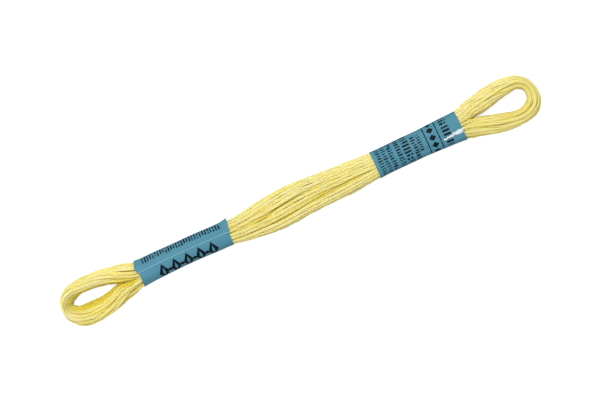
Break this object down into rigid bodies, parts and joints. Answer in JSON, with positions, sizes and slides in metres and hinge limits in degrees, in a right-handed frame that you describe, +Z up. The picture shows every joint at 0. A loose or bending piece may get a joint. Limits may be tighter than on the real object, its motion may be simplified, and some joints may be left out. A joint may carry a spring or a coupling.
{
  "type": "hank of embroidery floss in two paper bands",
  "caption": "Flat-lying hank of stranded embroidery floss with an eye at each end, held together by two printed paper bands.",
  "frame": {"origin": "middle of the hank's footprint, on the surface that it lies on", "axes": "+X along the hank, towards the end with the wider eye; +Y across it; +Z up from the surface"},
  "size_m": [0.1559, 0.0154, 0.007],
  "materials": {
    "floss": "soft yellow mercerised cotton, six plies to the strand, with a low sheen",
    "band_paper": null
  },
  "bodies": {
    "root": {"floss_hank": "floss", "band_left": "band_paper", "band_right": "band_paper"}
  },
  "joints": []
}
